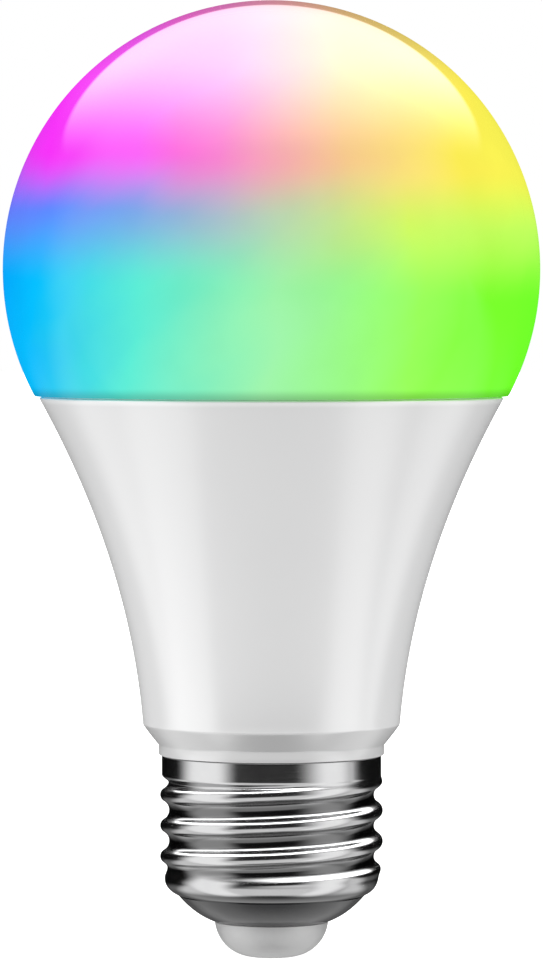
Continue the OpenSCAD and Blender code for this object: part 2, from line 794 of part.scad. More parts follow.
// Stations down the cap's wall: [plain radius, height, share of thread, wall inwards, wall upwards]
thread_top_z = skirt_foot_z + 0.25;
thread_rows = ceil((thread_top_z - lip_arc_at[1]) / thread_pitch * thread_steps);
wall_stations = [
    each [for (i = [0:thread_rows]) let (
        z = thread_top_z - (thread_top_z - lip_arc_at[1]) * i / thread_rows,
        s = smooth((thread_top_z - 0.3 - z) / 1),
        low = smooth((z - lip_arc_at[1] + 0.4) / 2.2))
        [low < 1 ? lip_arc_at[0] + lip_arc_r : skirt_r - 0.07, z, min(s, low),
            shell_t - 0.12 * (1 - smooth((thread_top_z - z) / 0.5)), 0]],
    each [for (i = [1:9]) let (a = lip_turn * i / 9)
        [lip_arc_at[0] + lip_arc_r * cos(a), lip_arc_at[1] - lip_arc_r * sin(a),
            smooth(0.4 / 2.2) * (1 - i / 9), shell_t * cos(a), shell_t * sin(a)]]];

// The threaded wall of the cap: its outside and inside are one grid each, joined at the two ends
module threaded_wall() {
    rows = len(wall_stations);
    outside = [for (s = wall_stations, k = [0:thread_sides - 1]) let (a = 360 * k / thread_sides,
        r = s[0] * (1 - s[2]) + thread_r(a, s[1]) * s[2]) [r * cos(a), r * sin(a), s[1]]];
    inside = [for (s = wall_stations, k = [0:thread_sides - 1]) let (a = 360 * k / thread_sides,
        r = s[0] * (1 - s[2]) + thread_r(a, s[1]) * s[2] - s[3]) [r * cos(a), r * sin(a), s[1] + s[4]]];
    inner = rows * thread_sides;
    // One band of triangles between two rings that start at points a and b
    bands = [
        each [for (i = [0:rows - 2]) [i * thread_sides, (i + 1) * thread_sides]],
        each [for (i = [0:rows - 2]) [inner + (i + 1) * thread_sides, inner + i * thread_sides]],
        [inner, 0],
        [(rows - 1) * thread_sides, inner + (rows - 1) * thread_sides]];
    faces = [for (b = bands, k = [0:thread_sides - 1]) let (next = (k + 1) % thread_sides)
        each [[b[0] + k, b[0] + next, b[1] + k], [b[0] + next, b[1] + next, b[1] + k]]];
    polyhedron(concat(outside, inside), faces);
}

module screw_shell() {
    color([0.75, 0.76, 0.78]) {
        threaded_wall();
        difference() {
            union() {
                translate([0, 0, skirt_foot_z]) ring(skirt_r, skirt_r - shell_t, skirt_top_z - skirt_foot_z);
                intersection() {
                    at_crimps() sphere(r = crimp_ball_r + 0.3);
                    cylinder(r = skirt_r - shell_t / 2, h = 40);
                }
            }
            at_crimps() sphere(r = crimp_ball_r);
        }
    }
}

// Black body of the cap's end, with a nose that fills the contact
module cap_insulator() {
    nose = contact_arc_r - contact_t - gap;
    nose_top = sqrt(nose * nose - pow(contact_arc_at[1] - insulator_tip_z, 2));
    nose_turn = atan2(insulator_tip_z - contact_arc_at[1], nose_top);
    color([0.07, 0.07, 0.08]) difference() {
        turned([[0, contact_arc_at[1] - nose], [contact_arc_at[0], contact_arc_at[1] - nose],
            each arc(contact_arc_at, nose, -90, nose_turn, 10),
            each bend([insulator_tip_r, insulator_tip_z], insulator_bend, [insulator_lip_r, insulator_lip_z]),
            [insulator_lip_r, insulator_lip_z + 0.6],
            each arc(lip_arc_at, lip_arc_r - shell_t - 0.15, -60, -8, 6),
            [lip_arc_at[0] + 0.9, insulator_top_z], [9.6, insulator_top_z], [9, insulator_floor_z + 0.6],
            [8.4, insulator_floor_z], [0, insulator_floor_z]]);
        cylinder(r = contact_stem_r + 0.03, h = 20);
        // Groove beside the stem for the live wire's bare end
        translate([1.6, -0.35, 4.8]) cylinder(r = tail_r + 0.1, h = 20);
    }
}

// Stamped cup with a flat tip and a stem, which pins the live wire in the insulator
module centre_contact() {
    inner = contact_arc_r - contact_t;
    rim_turn = asin((insulator_tip_z - gap - contact_arc_at[1]) / contact_arc_r);
    inner_turn = asin((insulator_tip_z - gap - contact_arc_at[1]) / inner);
    color([0.72, 0.72, 0.72]) {
        turned([[0, contact_arc_at[1] - contact_arc_r],
            each arc(contact_arc_at, contact_arc_r, -90, rim_turn, 14),
            each arc(contact_arc_at, inner, inner_turn, -90, 14), [0, contact_arc_at[1] - inner]]);
        cylinder(r = contact_stem_r, h = contact_stem_z);
    }
}

// ---------------------------------------------------------------- assembly

diffuser_globe();
globe_sealant();
housing_shell();
heatsink_cup();
heat_spreader();
thermal_pad();
led_board();
board_screws();
cool_white_leds();
cool_phosphor();
warm_white_leds();
warm_phosphor();
rgb_leds();
rgb_dies();
led_socket();
led_header();
led_header_pins();
wifi_board();
wifi_antenna();
wifi_chip();
wifi_crystal();
wifi_header();
wifi_pins();
driver_board();
transformer_core();
transformer_bobbin();
transformer_winding();
bulk_capacitor();
bulk_capacitor_sleeve();
output_capacitor();
output_capacitor_sleeve();
filter_inductor();
choke_core();
choke_winding();
film_capacitor();
bridge_rectifier();
driver_chips();
chip_leads();
chip_resistors();
rectifier_diodes();
fusible_resistor();
component_leads();
solder_joints();
live_wire();
neutral_wire();
wire_tails();
screw_shell();
cap_insulator();
centre_contact();
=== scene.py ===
"""Looks of a colour-changing smart light bulb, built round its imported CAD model.

Metres in the row frame: +Z up the bulb's axis, the front faces -Y, the contact's tip is at the origin.
Outlines of turned pieces are written in millimetres, as (radius, height) corners.
"""
import json
import math

import bmesh
import bpy
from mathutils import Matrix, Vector


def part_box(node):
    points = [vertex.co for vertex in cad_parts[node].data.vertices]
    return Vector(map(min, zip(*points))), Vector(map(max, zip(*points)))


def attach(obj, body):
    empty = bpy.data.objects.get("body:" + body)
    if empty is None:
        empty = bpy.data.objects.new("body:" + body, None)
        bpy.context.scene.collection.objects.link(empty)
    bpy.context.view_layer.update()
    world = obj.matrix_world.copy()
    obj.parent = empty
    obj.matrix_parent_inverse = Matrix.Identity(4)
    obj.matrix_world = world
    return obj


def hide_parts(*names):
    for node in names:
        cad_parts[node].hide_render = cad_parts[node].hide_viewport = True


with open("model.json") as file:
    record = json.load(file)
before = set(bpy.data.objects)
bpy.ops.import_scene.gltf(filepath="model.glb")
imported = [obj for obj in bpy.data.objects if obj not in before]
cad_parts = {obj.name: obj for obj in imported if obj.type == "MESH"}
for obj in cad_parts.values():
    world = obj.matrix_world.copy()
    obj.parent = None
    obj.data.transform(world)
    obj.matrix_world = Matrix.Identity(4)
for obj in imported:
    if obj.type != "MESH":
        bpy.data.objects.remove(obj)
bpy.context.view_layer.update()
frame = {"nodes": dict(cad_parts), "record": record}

MM = 0.001
TURN = 2 * math.pi


# ------------------------------------------------------------------ sizes, from the CAD model

def box_mm(node):
    """A CAD node's lowest and highest corner in millimetres."""
    low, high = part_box(node)
    return low / MM, high / MM


globe_low, globe_high = box_mm("diffuser_globe")
housing_low, housing_high = box_mm("housing_shell")
_, shell_high = box_mm("screw_shell")
_, sealant_high = box_mm("globe_sealant")
_, insulator_high = box_mm("cap_insulator")
_, contact_high = box_mm("centre_contact")

GLOBE_R = 31.485
GLOBE_Z = globe_high.z - GLOBE_R
SEAM_Z = sealant_high.z
HOUSING_TOP_Z = housing_high.z
HOUSING_TOP_R = 27.31
SHOULDER_Z = 27.35
WAIST_R = 15.1
WAIST_FLARE = 3.1
WALL = 1.3


def housing_r(z):
    """Radius of the housing's outside at height z."""
    t = (z - SHOULDER_Z) / (HOUSING_TOP_Z - SHOULDER_Z)
    return WAIST_R + WAIST_FLARE * t + (HOUSING_TOP_R - WAIST_R - WAIST_FLARE) * t * t


# ------------------------------------------------------------------ camera, floor and light

CAMERA_DISTANCE = 0.64
CAMERA_HEIGHT = 0.076
SENSOR = 36
# Height of the picture in the plane of the bulb's axis, and its middle
PICTURE_HEIGHT = 0.11266
PICTURE_MIDDLE = 0.05604


def look_at(obj, target):
    obj.rotation_euler = (Vector(target) - obj.location).to_track_quat("-Z", "Y").to_euler()


def make_camera():
    data = bpy.data.cameras.new("camera")
    data.sensor_width = SENSOR
    data.lens = SENSOR * CAMERA_DISTANCE / PICTURE_HEIGHT
    data.clip_start = 0.01
    camera = bpy.data.objects.new("camera", data)
    bpy.context.scene.collection.objects.link(camera)
    camera.location = (0, -CAMERA_DISTANCE, CAMERA_HEIGHT)
    look_at(camera, (0, 0, PICTURE_MIDDLE))
    bpy.context.scene.camera = camera


make_camera()


# ------------------------------------------------------------------ node helpers

class Tree:
    """A node tree with short ways to add the nodes that the materials use."""

    def __init__(self, tree):
        self.tree = tree

    def put(self, socket, value):
        """Links value to a socket, or sets it if it is a plain number, colour or vector."""
        if isinstance(value, bpy.types.NodeSocket):
            self.tree.links.new(value, socket)
        elif hasattr(value, "__len__") and len(value) == 3 and len(socket.default_value) == 4:
            socket.default_value = (*value, 1)
        else:
            socket.default_value = value

    def add(self, kind, inputs=None, output=0, **settings):
        """Adds a node and returns one of its outputs."""
        node = self.tree.nodes.new("ShaderNode" + kind)
        for name, value in settings.items():
            setattr(node, name, value)
        for name, value in (inputs or {}).items():
            self.put(node.inputs[name], value)
        return node.outputs[output]

    def math(self, operation, *values):
        return self.add("Math", dict(enumerate(values)), operation=operation)

    def vector_math(self, operation, *values):
        return self.add("VectorMath", dict(enumerate(values)), operation=operation)

    def ramp(self, value, low, high, to_low=0.0, to_high=1.0, smooth=True):
        """Maps value from low..high to to_low..to_high, with soft ends, and holds it beyond them."""
        return self.add("MapRange", {"Value": value, 1: low, 2: high, 3: to_low, 4: to_high},
                        interpolation_type="SMOOTHSTEP" if smooth else "LINEAR")

    def mix(self, factor, a, b):
        """Mixes colour a into colour b."""
        node = self.tree.nodes.new("ShaderNodeMix")
        node.data_type = "RGBA"
        self.put(node.inputs["Factor"], factor)
        self.put(node.inputs[6], a)
        self.put(node.inputs[7], b)
        return node.outputs[2]

    def colours(self, value, stops):
        """A colour ramp with stops of (place, colour)."""
        node = self.tree.nodes.new("ShaderNodeValToRGB")
        elements = node.color_ramp.elements
        while len(elements) < len(stops):
            elements.new(1)
        for element, (place, colour) in zip(elements, stops):
            element.position = place
            element.color = (*colour, 1)
        self.put(node.inputs[0], value)
        return node.outputs[0]

    def place(self, scale=(1, 1, 1)):
        """The point's place in the row frame, in millimetres, stretched by scale."""
        point = self.add("TexCoord", output="Object")
        return self.vector_math("MULTIPLY", point, Vector(scale) / MM)

    def slanted(self, degrees):
        """The point's place in metres, turned about Y so that X runs up at an angle."""
        point = self.add("TexCoord", output="Object")
        inputs = {"Vector": point, "Angle": math.radians(degrees)}
        return self.add("VectorRotate", inputs, rotation_type="Y_AXIS")

    def axes(self, point):
        """The X, Y and Z of a point."""
        return [self.add("SeparateXYZ", {0: point}, output=axis) for axis in range(3)]

    def off_axis(self, point):
        """How far a point is from the bulb's axis."""
        level = self.vector_math("MULTIPLY", point, (1, 1, 0))
        return self.add("VectorMath", {0: level}, output=1, operation="LENGTH")

    def noise(self, point, scale, detail=3.0):
        return self.add("TexNoise", {"Vector": point, "Scale": scale, "Detail": detail})

    def bump(self, height, depth_mm, strength):
        return self.add("Bump", {"Height": height, "Distance": depth_mm * MM, "Strength": strength})


def linear(red, green, blue):
    """A colour given as it looks, from 0 to 255, as the linear colour that Blender uses."""
    def channel(value):
        value /= 255
        return value / 12.92 if value <= 0.04045 else ((value + 0.055) / 1.055) ** 2.4
    return tuple(channel(value) for value in (red, green, blue))


def new_material(name):
    """A material, its tree and its Principled node."""
    material = bpy.data.materials.new(name)
    material.use_nodes = True
    nodes = material.node_tree.nodes
    shader = next(node for node in nodes if node.type == "BSDF_PRINCIPLED")
    return material, Tree(material.node_tree), shader


# ------------------------------------------------------------------ studio

# Soft boxes beside the bulb: side, then where it starts, is full, starts to fade and ends, in degrees from
# the front
SOFT_BOXES = [(-1, 34, 60, 88, 118), (1, 22, 62, 74, 110)]
SIDE_LIGHT = 1.66
# Heights on a ball in front of the viewer where the light over the bulb starts to show and is full
TOP_SPOT = (0.40, 0.80)
TOP_LIGHT = 19.5
LOW_LIGHT = 1.1
# What mirrors show between the soft boxes: nearly nothing level with the eye, more above and below it
FRONT_LIGHT = 0.035
FRONT_ABOVE = 0.5
FRONT_BELOW = 1.1
# Even light on matt surfaces: all round, how much it grows from below to above, how much less comes from
# front and back, and how much more comes from straight to the left and right
FILL_LIGHT = 1.28
FILL_UP = 0.38
FILL_FRONT_BACK = -0.96
FILL_SIDES = 0.75


def side_light(t, azimuth, elevation):
    """What mirrors show of the soft boxes on the left and right."""
    boxes = 0.0
    for side, start, full, fade, end in SOFT_BOXES:
        across = t.math("MULTIPLY", azimuth, side)
        box = t.math("MULTIPLY", t.ramp(across, start, full), t.ramp(across, fade, end, 1, 0))
        boxes = t.math("ADD", boxes, box)
    height = t.math("MULTIPLY", t.ramp(elevation, -76, -60), t.ramp(elevation, 30, 48, SIDE_LIGHT, 0))
    return t.math("MULTIPLY", boxes, height)


def top_light(t, y, z):
    """The light over the bulb. It fades towards the front, and behind it has a straight lower edge."""
    ahead = t.math("SUBTRACT", 1, y)
    # Height on a ball of the spot that shows a light in this direction to someone in front
    spot = t.math("DIVIDE", z, t.math("SQRT", t.math("MAXIMUM", t.math("MULTIPLY", ahead, 2), 0.001)))
    glow = t.math("MULTIPLY", ahead, t.ramp(spot, *TOP_SPOT, 0, TOP_LIGHT))
    return t.math("MULTIPLY", glow, t.ramp(z, 0.39, 0.44))


def low_light(t, pitch):
    """The light under the bulb, behind it."""
    low = t.ramp(pitch, -112, -72, LOW_LIGHT, 0)
    return t.math("MULTIPLY", low, t.ramp(pitch, -160, -130))


def front_light(t, azimuth, elevation):
    """The dim light that comes from the front, out to the sides."""
    below = t.math("MULTIPLY", t.ramp(elevation, -74, -62), t.ramp(elevation, -20, -8, FRONT_BELOW, 0))
    front = t.math("ADD", t.ramp(elevation, 45, 75, FRONT_LIGHT, FRONT_ABOVE), below)
    return t.math("MULTIPLY", front, t.ramp(t.math("ABSOLUTE", azimuth), 62, 96, 1, 0.15))


def mirrored_light(t, x, y, z):
    """What glossy surfaces mirror in the direction x, y, z."""
    ahead = t.math("MULTIPLY", y, -1)
    azimuth = t.math("DEGREES", t.math("ARCTAN2", x, ahead))
    elevation = t.math("DEGREES", t.math("ARCSINE", z))
    # Degrees up from the front, over the top or underneath
    pitch = t.math("DEGREES", t.math("ARCTAN2", z, ahead))
    boxes = t.math("ADD", side_light(t, azimuth, elevation), top_light(t, y, z))
    dim = t.math("MAXIMUM", low_light(t, pitch), front_light(t, azimuth, elevation))
    return t.math("MAXIMUM", boxes, dim)


def fill_light(t, x, y, z):
    """What matt surfaces receive from the direction x, y, z."""
    front_back = t.math("MULTIPLY", t.math("ABSOLUTE", y), FILL_FRONT_BACK)
    slope = t.math("ADD", t.math("MULTIPLY", z, FILL_UP), front_back)
    sides = t.math("MULTIPLY", t.math("POWER", t.math("ABSOLUTE", x), 4), FILL_SIDES)
    return t.math("ADD", t.math("ADD", slope, sides), FILL_LIGHT)


def make_world():
    """White for the camera, even light for matt surfaces, and soft boxes for what mirrors them."""
    world = bpy.data.worlds.new("studio")
    bpy.context.scene.world = world
    world.use_nodes = True
    world.cycles.sampling_method = "NONE"
    t = Tree(world.node_tree)
    background = next(node for node in world.node_tree.nodes if node.type == "BACKGROUND")
    background.inputs["Color"].default_value = (1, 1, 1, 1)
    x, y, z = t.axes(t.add("TexCoord", output="Generated"))
    camera_ray = t.add("LightPath", output="Is Camera Ray")
    matt_ray = t.add("LightPath", output="Is Diffuse Ray")
    other_ray = t.math("SUBTRACT", 1, matt_ray)
    strength = t.math("ADD", t.math("MULTIPLY", matt_ray, fill_light(t, x, y, z)),
                      t.math("MULTIPLY", other_ray, mirrored_light(t, x, y, z)))
    t.put(background.inputs["Strength"], t.math("MAXIMUM", strength, camera_ray))


def make_floor():
    """A pale floor, wide enough to fill every view, that the bulb stands on."""
    material, t, shader = new_material("pale_floor")
    speckle = t.noise(t.place(), 0.4)
    t.put(shader.inputs["Base Color"], t.mix(speckle, (0.86, 0.86, 0.86), (0.92, 0.92, 0.92)))
    shader.inputs["Roughness"].default_value = 0.9
    shader.inputs["Specular IOR Level"].default_value = 0
    shader.inputs["Emission Color"].default_value = (1, 1, 1, 1)
    shader.inputs["Emission Strength"].default_value = 0.8
    bpy.ops.mesh.primitive_circle_add(vertices=96, radius=6, fill_type="NGON", location=(0, 0, -0.00002))
    floor = bpy.context.object
    floor.name = "floor"
    floor.data.materials.append(material)
    floor.visible_glossy = False
    floor.visible_diffuse = False


def make_key_light():
    """One large, weak light on the left, so that the two sides of the bulb differ a little."""
    data = bpy.data.lights.new("key", "AREA")
    data.shape = "RECTANGLE"
    data.size, data.size_y = 0.5, 0.9
    data.energy = 1.0
    light = bpy.data.objects.new("key", data)
    bpy.context.scene.collection.objects.link(light)
    light.location = (-0.75, -0.45, 0.45)
    light.visible_glossy = False
    look_at(light, (0, 0, 0.05))


def make_studio():
    view = bpy.context.scene.view_settings
    view.view_transform = "Standard"
    view.look = "None"
    make_world()
    make_floor()
    make_key_light()


make_studio()


# ------------------------------------------------------------------ mesh helpers

def arc(centre, radius, start, end, steps):
    """Points of an arc, with its angles in degrees from +r towards +z."""
    return [(centre[0] + radius * math.cos(math.radians(start + (end - start) * i / steps)),
             centre[1] + radius * math.sin(math.radians(start + (end - start) * i / steps)))
            for i in range(steps + 1)]


def flare(low, high, inset=0.0, steps=48):
    """Points along the housing's curve from height low to high, moved in by inset."""
    heights = [low + (high - low) * i / steps for i in range(steps + 1)]
    return [(housing_r(z) - inset, z) for z in heights]


def rounded(corners):
    """An outline from corners (r, z) that stay sharp or (r, z, radius) that are rounded."""
    steps = 5
    points = []
    for i, corner in enumerate(corners):
        here = Vector(corner[:2])
        if len(corner) == 2:
            points.append(tuple(here))
            continue
        before = (Vector(corners[i - 1][:2]) - here).normalized()
        after = (Vector(corners[(i + 1) % len(corners)][:2]) - here).normalized()
        half = before.angle(after) / 2
        reach = corner[2] / math.tan(half)
        start, end = here + before * reach, here + after * reach
        for k in range(steps + 1):
            u = k / steps
            points.append(tuple((1 - u) ** 2 * start + 2 * u * (1 - u) * here + u * u * end))
    return points


def bend(start, control, end, steps=10):
    """Points of a curve that leaves start towards control and reaches end from it."""
    places = [i / steps for i in range(steps + 1)]
    return [tuple((1 - u) ** 2 * a + 2 * u * (1 - u) * b + u * u * c
                  for a, b, c in zip(start, control, end)) for u in places]


def object_from(name, mesh):
    made = bpy.data.objects.new(name, mesh)
    bpy.context.scene.collection.objects.link(made)
    return made


def skin(name, rings):
    """A closed smooth mesh through rings of points, the last joined to the first. A ring may be a point."""
    bm = bmesh.new()
    rings = [[bm.verts.new(point) for point in ring] for ring in rings]
    for a, b in zip(rings, rings[1:] + rings[:1]):
        if len(a) == len(b) == 1:
            continue
        for k in range(max(len(a), len(b))):
            corners = [a[k % len(a)], a[(k + 1) % len(a)], b[(k + 1) % len(b)], b[k % len(b)]]
            bm.faces.new(list(dict.fromkeys(corners)))
    bmesh.ops.recalc_face_normals(bm, faces=bm.faces)
    mesh = bpy.data.meshes.new(name)
    bm.to_mesh(mesh)
    bm.free()
    mesh.shade_smooth()
    return object_from(name, mesh)


def round_point(r, z, turn):
    """The point in metres at radius r and height z in millimetres, and an angle in radians."""
    return r * MM * math.cos(turn), r * MM * math.sin(turn), z * MM


def turned(name, outline, sides):
    """A closed loop of (radius, height) in millimetres, turned about the axis into a closed mesh."""
    turns = [TURN * k / sides for k in range(sides)]
    on_axis = 1e-6
    return skin(name, [[round_point(r, z, turn) for turn in (turns if r > on_axis else [0])]
                       for r, z in outline])


def crease(piece, angle):
    """Keeps edges sharper than angle crisp."""
    mesh = piece.data
    bm = bmesh.new()
    bm.from_mesh(mesh)
    for edge in bm.edges:
        edge.smooth = len(edge.link_faces) != 2 or edge.calc_face_angle(0) < math.radians(angle)
    bm.to_mesh(mesh)
    bm.free()


def stands_for(piece, node, material):
    """Puts a finished piece in the place of a CAD node."""
    piece.data.materials.append(material)
    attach(piece, "root")
    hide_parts(node)


# ------------------------------------------------------------------ globe

# Colours of the light from the left rim to the right rim, as they look, at three heights
UPPER_SWEEP = [
    (0.00, (220, 60, 235)),
    (0.10, (244, 50, 246)),
    (0.26, (246, 94, 242)),
    (0.33, (249, 112, 218)),
    (0.41, (246, 132, 207)),
    (0.63, (242, 198, 138)),
    (0.85, (248, 234, 82)),
    (1.00, (242, 244, 80)),
]
MIDDLE_SWEEP = [
    (0.00, (104, 118, 248)),
    (0.10, (95, 130, 249)),
    (0.26, (119, 157, 228)),
    (0.42, (172, 190, 204)),
    (0.50, (186, 208, 176)),
    (0.75, (204, 244, 86)),
    (1.00, (188, 254, 94)),
]
LOWER_SWEEP = [
    (0.00, (0, 168, 250)),
    (0.08, (4, 188, 250)),
    (0.18, (44, 212, 222)),
    (0.27, (80, 232, 208)),
    (0.52, (156, 242, 168)),
    (0.78, (146, 254, 78)),
    (0.90, (122, 253, 44)),
    (1.00, (112, 255, 40)),
]
GLOW = 0.92


def sweep_colour(t, x, z):
    """The three sweeps, each mixed softly into the next, with faint slanting streaks in them."""
    streaks = t.noise(t.vector_math("MULTIPLY", t.slanted(38), (18, 60, 160)), 1, 4)
    across = t.math("ADD", t.math("MULTIPLY", x, 0.5 / (GLOBE_R * MM)), 0.5)
    across = t.math("ADD", across, t.ramp(streaks, 0.3, 0.7, -0.012, 0.012, smooth=False))
    # The lowest sweep slants: its colours move to the left on the way down
    down = t.math("MULTIPLY", t.math("SUBTRACT", GLOBE_Z * MM, z), 2)
    places = [across, across, t.math("ADD", across, down)]
    upper, middle, lower = (t.colours(at, [(place, linear(*colour)) for place, colour in sweep])
                            for at, sweep in zip(places, (UPPER_SWEEP, MIDDLE_SWEEP, LOWER_SWEEP)))
    height = t.math("ADD", t.math("DIVIDE", z, MM), t.math("MULTIPLY", x, 0.05 / MM))
    height = t.math("ADD", height, t.ramp(streaks, 0.3, 0.7, -0.5, 0.5, smooth=False))
    below = t.mix(t.ramp(height, GLOBE_Z - 3, GLOBE_Z + 7), lower, middle)
    return t.mix(t.ramp(height, GLOBE_Z + 5, GLOBE_Z + 12.5), below, upper)


def glowing_opal():
    material, t, shader = new_material("glowing_opal")
    x, _, z = t.axes(t.add("TexCoord", output="Object"))
    colour = sweep_colour(t, x, z)
    # The light weakens at the very top, far from the board, and behind the housing's edge at the seam
    height = t.math("DIVIDE", z, MM)
    top = t.ramp(height, GLOBE_Z + 0.68 * GLOBE_R, GLOBE_Z + GLOBE_R, 1, 0.63)
    seam = t.ramp(height, SEAM_Z, SEAM_Z + 1.3, 0.6, 1)
    strength = t.math("MULTIPLY", t.math("MULTIPLY", top, seam), GLOW)
    # Faint clouding of the diffusing powder in the plastic
    cloud = t.ramp(t.noise(t.place(), 0.12), 0.3, 0.7, 0.98, 1.02)
    t.put(shader.inputs["Emission Color"], colour)
    t.put(shader.inputs["Emission Strength"], t.math("MULTIPLY", strength, cloud))
    t.put(shader.inputs["Base Color"], t.mix(0.88, colour, (0, 0, 0)))
    t.put(shader.inputs["Roughness"], t.ramp(t.noise(t.place(), 0.5), 0.3, 0.7, 0.04, 0.07))
    t.put(shader.inputs["Normal"], t.bump(t.noise(t.place(), 2.5), 0.002, 0.1))
    shader.inputs["IOR"].default_value = 1.28
    return material


def make_globe():
    """Opal globe with a turned-in rim and a spigot with a snap bead."""
    wall = 1.3
    spigot_wall = 1.2
    inset = WALL + 0.15
    foot = globe_low.z
    rim_r = math.sqrt(GLOBE_R ** 2 - (GLOBE_Z - SEAM_Z) ** 2)
    rim_turn = math.degrees(math.asin((SEAM_Z - GLOBE_Z) / GLOBE_R))
    inner_z = SEAM_Z + spigot_wall
    inner_turn = math.degrees(math.asin((inner_z - GLOBE_Z) / (GLOBE_R - wall)))
    bead_z = SEAM_Z - 1.7
    bead = arc((housing_r(bead_z) - inset, bead_z), 0.3, 75, -105, 10)
    outline = [
        *arc((0, GLOBE_Z), GLOBE_R, 90, rim_turn + 0.6, 120),
        *rounded([(rim_r + 0.1, SEAM_Z + 0.3), (rim_r, SEAM_Z, 0.2), (rim_r - 1, SEAM_Z)])[1:],
        *flare(SEAM_Z, bead_z + 0.3, inset, 4),
        *bead,
        *flare(bead_z - 0.3, foot + 0.2, inset, 4),
        *rounded([(housing_r(foot) - inset, foot + 0.3), (housing_r(foot) - inset, foot, 0.15),
                  (housing_r(foot) - inset - spigot_wall, foot, 0.15),
                  (housing_r(foot) - inset - spigot_wall, foot + 0.3)])[1:-1],
        *flare(foot + 0.3, inner_z, inset + spigot_wall, 8),
        *arc((0, GLOBE_Z), GLOBE_R - wall, inner_turn, 90, 90)]
    piece = turned("opal_globe", outline, 256)
    crease(piece, 50)
    stands_for(piece, "diffuser_globe", glowing_opal())


make_globe()


# ------------------------------------------------------------------ housing

NECK_FOOT_Z = housing_low.z
NECK_R = 11.5
NECK_BORE_R = 10.4
COLLAR_R = 13.25
COLLAR_TOP_Z = 24.95
COLLAR_FOOT_Z = 23.8


def moulded_white():
    material, t, shader = new_material("moulded_white")
    point = t.place()
    shade = t.mix(t.noise(point, 0.08), (0.81, 0.81, 0.815), (0.85, 0.85, 0.85))
    # Painted shade: the base colour is darkened on the collar and on the slope over it, which lie in the
    # shade of the flare. Painted highlight: the edge under the globe is painted whiter, as if lit by it
    _, _, height = t.axes(point)
    painted_collar_shade = t.math("MULTIPLY", t.ramp(height, COLLAR_TOP_Z - 0.1, COLLAR_TOP_Z + 0.15, 0.16, 0.25),
                    t.ramp(height, SHOULDER_Z - 0.1, SHOULDER_Z + 0.15, 1, 0))
    shade = t.mix(painted_collar_shade, shade, (0, 0, 0))
    # Painted highlight: the base colour turns nearly white just under the housing's top edge, where the
    # globe meets it
    edge = t.ramp(height, HOUSING_TOP_Z - 0.9, HOUSING_TOP_Z - 0.3)
    t.put(shader.inputs["Base Color"], t.mix(edge, shade, (0.98, 0.98, 0.98)))
    t.put(shader.inputs["Roughness"], t.ramp(t.noise(point, 0.9), 0.3, 0.7, 0.3, 0.38))
    t.put(shader.inputs["Normal"], t.bump(t.noise(point, 9), 0.004, 0.2))
    shader.inputs["Coat Weight"].default_value = 1
    shader.inputs["Coat IOR"].default_value = 2.35
    shader.inputs["Specular IOR Level"].default_value = 0
    shader.inputs["Coat Roughness"].default_value = 0.22
    return material


def join(piece, helper):
    """Joins a helper mesh to a piece with a boolean and removes the helper."""
    modifier = piece.modifiers.new("join", "BOOLEAN")
    modifier.operation = "UNION"
    modifier.solver = "EXACT"
    modifier.object = helper
    bpy.context.view_layer.update()
    made = bpy.data.meshes.new_from_object(piece.evaluated_get(bpy.context.evaluated_depsgraph_get()))
    piece.modifiers.clear()
    piece.data = made
    bpy.data.objects.remove(helper)


def block(low, high):
    """A helper box between two corners in millimetres."""
    mesh = bpy.data.meshes.new("block")
    bm = bmesh.new()
    bmesh.ops.create_cube(bm, size=1)
    for vertex in bm.verts:
        vertex.co = [((low[i] + high[i]) / 2 + vertex.co[i] * (high[i] - low[i])) * MM for i in range(3)]
    bm.to_mesh(mesh)
    bm.free()
    return object_from("block", mesh)


def housing_outline():
    """Up the flare's outside, down its inside and the neck's bore, up the neck's outside and the collar."""
    pocket_floor = 28.5
    pocket_r = 11.6
    # Room for the cap's skirt between the neck and the collar
    skirt_r = 12.4
    edge_z = HOUSING_TOP_Z - 0.5
    chamfer = bend((COLLAR_R, COLLAR_TOP_Z), (14.3, 26.2), (WAIST_R, SHOULDER_Z))[:-1]
    return [
        *flare(SHOULDER_Z + 0.25, edge_z),
        *rounded([(housing_r(edge_z), edge_z), (HOUSING_TOP_R, HOUSING_TOP_Z, 0.22),
                  (HOUSING_TOP_R - WALL, HOUSING_TOP_Z, 0.15), (housing_r(edge_z) - WALL, edge_z)])[1:],
        *flare(HOUSING_TOP_Z - 1, pocket_floor, WALL),
        (pocket_r, pocket_floor),
        (pocket_r, COLLAR_FOOT_Z),
        (NECK_BORE_R, COLLAR_FOOT_Z - 0.8),
        *rounded([(NECK_BORE_R, NECK_FOOT_Z + 1), (NECK_BORE_R, NECK_FOOT_Z, 0.1),
                  (NECK_R, NECK_FOOT_Z, 0.25), (NECK_R, NECK_FOOT_Z + 1)]),
        (NECK_R, 21.8),
        (skirt_r, 22),
        *rounded([(skirt_r, 23), (skirt_r, COLLAR_FOOT_Z), (COLLAR_R, COLLAR_FOOT_Z, 0.14),
                  (COLLAR_R, COLLAR_FOOT_Z + 0.5)])[1:-1],
        *chamfer,
        (WAIST_R - 0.03, SHOULDER_Z - 0.05),
        (WAIST_R, SHOULDER_Z + 0.1)]


def board_rails():
    """Helper boxes for the four rails that hold the edges of the driver board."""
    width, depth, length = 2.3, 1, 12
    foot = NECK_FOOT_Z + 1
    for x in (-9.35, 9.35):
        for y in (-1.2, 1.2):
            yield block((x - width / 2, y - depth / 2, foot), (x + width / 2, y + depth / 2, foot + length))


def make_housing():
    """White housing: flare, shoulder, collar, and the neck that goes down inside the cap."""
    piece = turned("white_housing", housing_outline(), 256)
    for rail in board_rails():
        join(piece, rail)
    crease(piece, 40)
    stands_for(piece, "housing_shell", moulded_white())


make_housing()


# ------------------------------------------------------------------ screw cap

